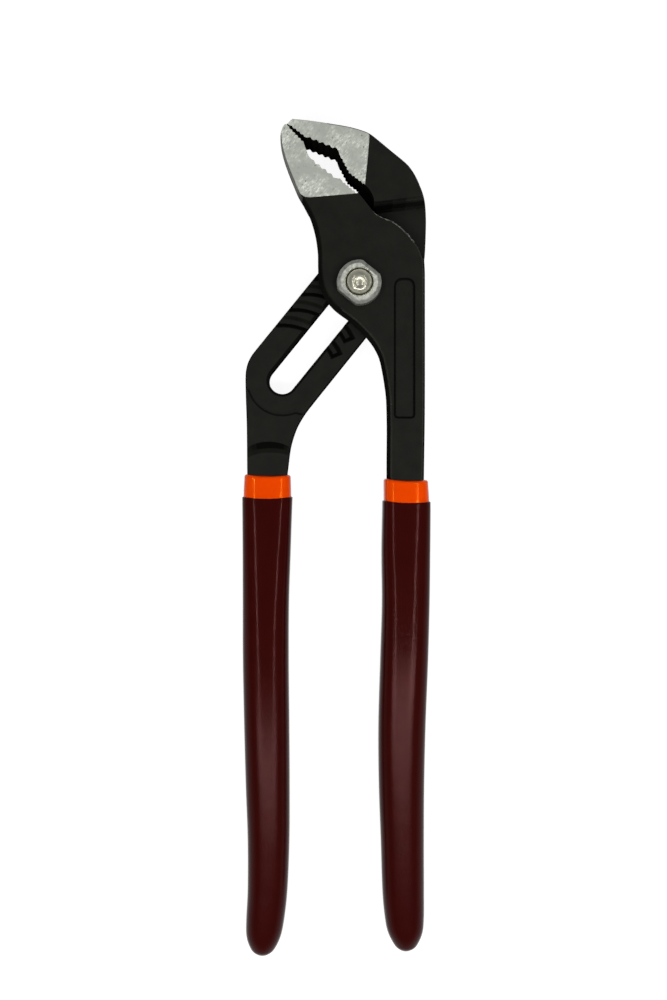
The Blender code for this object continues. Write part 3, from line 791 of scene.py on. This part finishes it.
class PLIERS_OT_front_lever(bpy.types.Operator):
    """Makes the front lever: tang with its panel, boss and lower jaw"""

    bl_idname = "pliers.front_lever"
    bl_label = "Front lever"

    def execute(self, context):
        s = context.scene.pliers_sizes
        joint = s.joint_height
        slope = math.tan(s.draft)
        edge = s.edge_round
        parting = joint + PARTING
        foot = 0.3 * MM
        rise = s.plate - PARTING - BAND - edge
        fall = PARTING - s.joint_gap - foot
        lever = blank(
            "front_lever_visual",
            outline(flow(FRONT_RIGHT), flow(FRONT_ARC), points(FRONT_HEEL), flow(FRONT_LEFT)),
            parting,
            [(rise, rise * slope, SIDE)] + fillet(edge, RUBBED),
            [(fall, fall * slope, SIDE)] + fillet(foot, BLACK),
        )
        # The lower jaw's flank stands steeper above the band, more so towards the tip
        wall = parting + BAND + 0.1 * MM
        for vert in lever.data.vertices:
            above = vert.co.z - wall
            if above > 0 and vert.co.x < -12 * MM and vert.co.y > 18 * MM:
                vert.co.x -= 0.55 * slope * above * min(1, (vert.co.y / MM - 18) / 6)
        steepen(lever, wall, FRONT_ARC[-1], FRONT_HEEL[0], 6 * MM)
        # The left edge is painted dark as shade, the boss's edge is rubbed bright and the jaw's flank
        # thinly ground
        refinish(lever, RUBBED, SIDE, lambda c: c.x < -5 and c.y < 26)
        refinish(lever, RUBBED, BRIGHT, lambda c: c.x > 2 and 12.5 < c.y < 24 and c.z > 14)
        refinish(lever, SIDE, DULL, lambda c: c.x < -16 and c.y > 25.3 and 12 < c.z < 15.5)
        loop = outline(
            points([(-0.9, 21.5), (0.8, 27.0)] + FRONT_HEEL[1:-1] + [(-18.6, 48.0)]),
            flow(FRONT_LEFT[:10]),
            points([(-13.6, 19.4), (-3.7, 17.4)]),
        )
        fall = s.jaw_back + JAW_PARTING - edge
        rows = [(fall, fall * slope * LOWER_JAW_DRAFT, BLACK)] + fillet(edge, RUBBED)
        jaw = blank("jaw_back", loop, joint + JAW_PARTING, [(2 * MM, 0.5 * MM, BLACK)], rows)
        combine(lever, jaw, "UNION")
        bite = outline(
            points([(15.0, 30.0), (1.2, 27.0)]),
            teeth((-0.36, 26.67), (-4.95, 30.5), s.fine_pitch, s.fine_depth),
            flow([(-4.95, 30.5), (-5.5, 31.1), (-6.3, 31.1)]),
            teeth((-6.3, 31.1), FRONT_HOLLOW[0], s.coarse_pitch, s.coarse_depth),
            flow(FRONT_HOLLOW),
            teeth(FRONT_HOLLOW[-1], (-20.55, 46.3), s.fine_pitch, s.fine_depth),
            points([(-21.25, 47.0), (-24.7, 50.5), (-24.7, 62.0), (15.0, 62.0)]),
        )
        # The walls of the bite are painted near black as shade
        rows = [(THROUGH, 0, HALF_SHADE)]
        cut(lever, "front_bite", bite[::-1], joint, rows, rows, HALF_SHADE)
        self.machine(s, lever, joint)
        finishes = lever_materials(context.scene.pliers_colours, "front")
        finished(lever, "front", ["front_lever"], finishes)
        return {"FINISHED"}

    def machine(self, s, lever, joint):
        """Adds the tongue, then cuts the relief, the bolt hole, the ground jaw face and the panel."""
        half = 1.35 * MM
        root = 2 * MM
        loop = outline(
            arc(0, 0, s.groove_radius + half, *TONGUE_ARC),
            arc(0, 0, s.groove_radius - half, *TONGUE_ARC[::-1]),
        )
        # Straight down to the grooves, then tapered
        rows = [(root + s.joint_gap + 0.3 * MM, 0, BLACK)]
        rows += [(s.groove_depth - 0.6 * MM, 0.75 * MM, BLACK)]
        combine(lever, blank("tongue", loop, joint + root, [], rows), "UNION")
        loop = outline(
            points([(-17.0, 8.7), (-17.0, -27.5), (9.6, -27.5)]),
            arc(0, 0, s.shoulder - MM, 320, 125),
        )
        relief = joint + s.joint_gap + 0.6 * MM
        cut(lever, "relief", loop, relief, [], [(4 * MM, 0, BLACK)])
        loop = arc(0, 0, s.slot_half, 0, 360)[:-1]
        cut(lever, "hole", loop, joint, [(9 * MM, 0, BLACK)], [(4 * MM, 0, BLACK)])
        loop = outline(
            points([(1.5, 26.8), (1.5, 60.0), (-30.0, 60.0), (-30.0, 42.0)]),
            flow([(-19.0, 29.3), (-17.75, 27.5), (-16.95, 26.3), (-15.9, 25.6), (-14.2, 25.45)]),
        )
        cut(lever, "grinding", loop, joint + s.ground_face, [(4 * MM, 0, GROUND)], [], GROUND)
        loop = outline(
            flow([(10.3, -38.6), (10.6, -39.5), (11.5, -39.8)]),
            flow([(15.6, -39.8), (16.4, -39.5), (16.7, -38.6)]),
            flow(PANEL_ARCH),
        )
        # The panel's rim is painted shade
        rows = [(CLEAR, 0, HALF_SHADE)]
        rows += [(drop * MM, inset * MM, finish) for drop, inset, finish in PANEL_SIDE]
        cut(lever, "panel", loop, joint + s.plate + CLEAR, [(2 * MM, 0, BLACK)], rows)


class PLIERS_OT_pivot(bpy.types.Operator):
    """Makes the pivot bolt and its nut"""

    bl_idname = "pliers.pivot"
    bl_label = "Pivot bolt and nut"

    def execute(self, context):
        s = context.scene.pliers_sizes
        colours = context.scene.pliers_colours
        joint = s.joint_height
        bolt_top = joint + s.bolt_top
        shank = s.shank_radius
        head = s.head_radius
        profile = [
            (0, 0.25 * MM),
            (head * 0.55, 0.15 * MM),
            (head - MM, 0),
            (head - 0.3 * MM, 0.25 * MM),
            (head, 0.8 * MM),
            (head, s.head_thickness),
            (shank, s.head_thickness),
        ]
        profile += [(shank * share, bolt_top - drop * MM) for share, drop in DOME]
        bolt = spun("pivot_bolt_visual", profile)
        # The peened end leans towards the handles
        lean = 0.5 * MM
        nut_top = joint + s.nut_top
        for vert in bolt.data.vertices:
            if vert.co.z > nut_top:
                vert.co.y -= lean * max(0, 1 - (vert.co.xy.length / shank) ** 2)
        plating = [zinc_plate("bolt_zinc", colours.bolt, roughness=0.3, cloudy=0.16)]
        finished(bolt, "pivot", ["pivot_bolt"], plating, sharp=50)
        turn = math.degrees(s.slot_angle)
        half = math.degrees(math.acos(s.nut_half_flats / s.nut_radius))
        loop = outline(
            arc(0, 0, s.nut_radius, turn + half, turn + 180 - half),
            arc(0, 0, s.nut_radius, turn + 180 + half, turn + 360 - half),
        )
        seat = joint + s.nut_seat
        foot = 0.3 * MM
        chamfer = [(rise * MM, inset * MM, BEVEL) for rise, inset in CHAMFER]
        tall = s.nut_top - s.nut_seat - BAND - foot - sum(row[0] for row in chamfer)
        rows = [(tall, 0.1 * MM, BEVEL)] + chamfer
        nut = blank("pivot_nut_visual", loop, seat + foot, rows, fillet(foot, BEVEL), PLATED)
        bore = [
            (0, seat - MM),
            (s.slot_half, seat - MM),
            (s.slot_half, nut_top - 0.3 * MM),
            (s.slot_half + 0.8 * MM, nut_top + 0.5 * MM),
            (0, nut_top + 0.5 * MM),
        ]
        combine(nut, spun("bore", bore), "DIFFERENCE")
        # The rim and sides of the nut are painted darker than its face, as shade, and are duller
        plating = [
            zinc_plate("nut_zinc", colours.zinc, roughness=0.42, cloudy=0.4),
            zinc_plate("nut_bevel", colours.bevel, roughness=0.55, cloudy=0.4),
        ]
        finished(nut, "pivot", ["pivot_nut"], plating)
        return {"FINISHED"}


class PLIERS_OT_grips(bpy.types.Operator):
    """Makes the two coats of both dipped grips"""

    bl_idname = "pliers.grips"
    bl_label = "Grips"

    def execute(self, context):
        s = context.scene.pliers_sizes
        colours = context.scene.pliers_colours
        orange = dipped_vinyl("orange_vinyl", colours.orange, colours.orange_gloss, gloss=0.4)
        maroon = dipped_vinyl("maroon_vinyl", colours.maroon, colours.maroon_gloss, gloss=0.09)
        # Name, body, stations, mouth, length, and how much the mouths of base and top coat slant
        sides = (
            ("left", "rear", LEFT_GRIP, s.left_mouth, s.grip_length, 0.012, 0),
            ("right", "front", RIGHT_GRIP, s.right_mouth, s.grip_length - s.grip_shorter, 0.03, 0.02),
        )
        for side, moves_with, rows, mouth, reach, base_slant, slant in sides:
            base = self.coat(s, side + "_base_visual", rows, mouth, reach, s.coat, BASE_ROLL, base_slant)
            finished(base, moves_with, [side + "_base_coat"], [orange])
            top = self.coat(s, side + "_top_visual", rows[1:], mouth, reach, 0, TOP_ROLL, slant)
            finished(top, moves_with, [side + "_top_coat"], [maroon])
        return {"FINISHED"}

    def coat(self, s, name, rows, mouth, reach, depth, roll, slant):
        """A dipped coat: a tube swept through the stations, with a rolled rim at its slanting mouth."""
        between = 6
        rim = fillet(roll, 0)
        last = (len(rows) - 1) * between
        mesh = bmesh.new()
        bmesh.ops.create_circle(mesh, cap_ends=True, segments=SEGMENTS, radius=1)
        bmesh.ops.translate(mesh, verts=mesh.verts, vec=(0, 0, -len(rim)))
        mesh.faces.ensure_lookup_table()
        cap = mesh.faces[0]
        for _ in range(last + len(rim)):
            cap = bmesh.ops.extrude_discrete_faces(mesh, faces=[cap])["faces"][0]
            bmesh.ops.translate(mesh, verts=cap.verts, vec=(0, 0, 1))
        for vert in mesh.verts:
            ring = round(vert.co.z)
            share, cx, cz, width, height, squareness = self.station(rows, max(ring, 0) / between)
            rolled = rim[: max(-ring, 0)]
            thin = min(depth, width * MM / 6) + sum(row[1] for row in rolled)
            turn = math.atan2(vert.co.y, vert.co.x)
            x = math.copysign(abs(math.cos(turn)) ** (2 / squareness), math.cos(turn))
            z = math.copysign(abs(math.sin(turn)) ** (2 / squareness), math.sin(turn))
            near = max(0, 1 - (share - rows[0][0]) / MOUTH_FADE)
            lip = roll + slant * width * MM / 2 * x + s.mouth_dip * (1 - x * x)
            vert.co = (
                cx * MM + (width * MM / 2 - thin) * x,
                sum(row[0] for row in rolled) - mouth - share * (reach - depth) - near * lip,
                s.joint_height + cz * MM + (height * MM / 2 - thin) * z,
            )
        bmesh.ops.holes_fill(mesh, edges=[edge for edge in mesh.edges if edge.is_boundary], sides=0)
        return solid(name, mesh)

    def station(self, rows, spot):
        """A station part of the way between the listed ones, on a smooth curve through them."""
        i = min(int(spot), len(rows) - 2)
        t = spot - i
        a, b, c, d = (rows[min(max(k, 0), len(rows) - 1)] for k in (i - 1, i, i + 1, i + 2))
        made = []
        for p, q, r, e in zip(a, b, c, d):
            bend = (2 * p - 5 * q + 4 * r - e) * t * t + (3 * q - p - 3 * r + e) * t * t * t
            made.append(q + 0.5 * ((r - p) * t + bend))
        return made


class PLIERS_OT_stage(bpy.types.Operator):
    """Makes the floor, lamps, world and camera"""

    bl_idname = "pliers.stage"
    bl_label = "Stage"

    def execute(self, context):
        scene = context.scene
        scene.view_settings.view_transform = "Standard"
        self.floor(scene)
        for place, target, width, tall, power in SOFTBOXES:
            self.lamp(scene, Vector(place), Vector(target), width, tall, power)
        self.room(scene)
        self.camera(scene)
        return {"FINISHED"}

    def room(self, scene):
        """A room with pale walls and a dim ceiling, white where it is seen along the floor."""
        world = bpy.data.worlds.new("pale_room")
        world.use_nodes = True
        tree = world.node_tree
        tree.nodes.clear()
        way = add(tree, "ShaderNodeTexCoord", {}).outputs["Generated"]
        way = add(tree, "ShaderNodeSeparateXYZ", {"Vector": way})
        up = way.outputs["Z"]
        inputs = {"Value": up, "From Min": 0.25, "From Max": 0.6, "To Min": 0.35, "To Max": 0.06}
        walls = add(tree, "ShaderNodeMapRange", inputs, interpolation_type="SMOOTHSTEP")
        across = way.outputs["X"]
        inputs = {"Value": across, "From Min": -0.7, "From Max": 0.7, "To Min": 0.4, "To Max": 1.3}
        lean = add(tree, "ShaderNodeMapRange", inputs)
        light = add(tree, "ShaderNodeMath", {0: walls, 1: lean}, operation="MULTIPLY")
        inputs = {"Value": up, "From Min": 0.1, "From Max": 0.45, "To Min": 1.0, "To Max": 0.3}
        shown = add(tree, "ShaderNodeMapRange", inputs, interpolation_type="SMOOTHSTEP")
        level = add(tree, "ShaderNodeMix", {0: self.direct(tree), 2: light, 3: shown})
        room = add(tree, "ShaderNodeBackground", {"Color": (1, 1, 1, 1), "Strength": level})
        add(tree, "ShaderNodeOutputWorld", {"Surface": room})
        scene.world = world

    def camera(self, scene):
        """The photograph's camera, above the pliers and looking straight down."""
        lens = bpy.data.cameras.new("camera")
        lens.sensor_fit = "VERTICAL"
        lens.sensor_height = 24
        lens.lens = 25.128
        lens.shift_x = 0.0305
        lens.shift_y = -0.025
        lens.clip_start = 0.01
        holder = bpy.data.objects.new("camera", lens)
        holder.location = (-0.01644, -0.05638, 0.3245)
        scene.collection.objects.link(holder)
        scene.camera = holder

    def floor(self, scene):
        """A pale floor that renders white where it is lit and keeps the shadow."""
        mesh = bmesh.new()
        bmesh.ops.create_grid(mesh, x_segments=1, y_segments=1, size=1.5)
        bmesh.ops.translate(mesh, verts=mesh.verts, vec=(0, 0, -0.05 * MM))
        slab = solid("floor", mesh)
        made, tree, _ = new_material("pale_floor")
        tint = scene.pliers_colours.floor
        matt = add(tree, "ShaderNodeBsdfDiffuse", {"Color": tone(tint, 0.5)})
        faint = add(tree, "ShaderNodeBsdfDiffuse", {"Color": tone(tint, 0.2)})
        glow = add(tree, "ShaderNodeEmission", {"Color": tone(tint), "Strength": 0.9})
        seen = add(tree, "ShaderNodeAddShader", {0: faint, 1: glow})
        shader = add(tree, "ShaderNodeMixShader", {0: self.direct(tree), 1: matt, 2: seen})
        add(tree, "ShaderNodeOutputMaterial", {"Surface": shader})
        slab.data.materials.append(made)

    def direct(self, tree):
        """One for what the camera, a gloss or a glass sees, nought for what only lights the object."""
        path = add(tree, "ShaderNodeLightPath", {})
        inputs = {0: path.outputs["Is Glossy Ray"], 1: path.outputs["Is Transmission Ray"]}
        bounced = add(tree, "ShaderNodeMath", inputs, operation="MAXIMUM")
        inputs = {0: path.outputs["Is Camera Ray"], 1: bounced}
        return add(tree, "ShaderNodeMath", inputs, operation="MAXIMUM")

    def lamp(self, scene, place, target, width, tall, power):
        """A softbox that points at a target."""
        light = bpy.data.lights.new("softbox", "AREA")
        light.shape = "RECTANGLE"
        light.size = tall
        light.size_y = width
        light.energy = power
        holder = bpy.data.objects.new("softbox", light)
        holder.location = place
        holder.rotation_euler = (target - place).to_track_quat("-Z", "Y").to_euler()
        scene.collection.objects.link(holder)


STEPS = ("rear_lever", "front_lever", "pivot", "grips", "stage")


class PLIERS_PT_panel(bpy.types.Panel):
    """Buttons for the pieces"""

    bl_label = "Pliers"
    bl_idname = "PLIERS_PT_panel"
    bl_space_type = "VIEW_3D"
    bl_region_type = "UI"
    bl_category = "Pliers"

    def draw(self, context):
        for name in STEPS:
            self.layout.operator("pliers." + name)


CLASSES = (
    PliersSizes,
    PliersColours,
    PLIERS_OT_rear_lever,
    PLIERS_OT_front_lever,
    PLIERS_OT_pivot,
    PLIERS_OT_grips,
    PLIERS_OT_stage,
    PLIERS_PT_panel,
)


def register():
    """Registers the classes and the scene's settings."""
    for kind in CLASSES:
        bpy.utils.register_class(kind)
    bpy.types.Scene.pliers_sizes = PointerProperty(type=PliersSizes)
    bpy.types.Scene.pliers_colours = PointerProperty(type=PliersColours)


def unregister():
    """Takes the settings and the classes away again."""
    del bpy.types.Scene.pliers_colours
    del bpy.types.Scene.pliers_sizes
    for kind in reversed(CLASSES):
        bpy.utils.unregister_class(kind)


def main():
    """Builds every piece."""
    register()
    for name in STEPS:
        getattr(bpy.ops.pliers, name)()


if __name__ == "__main__":
    main()
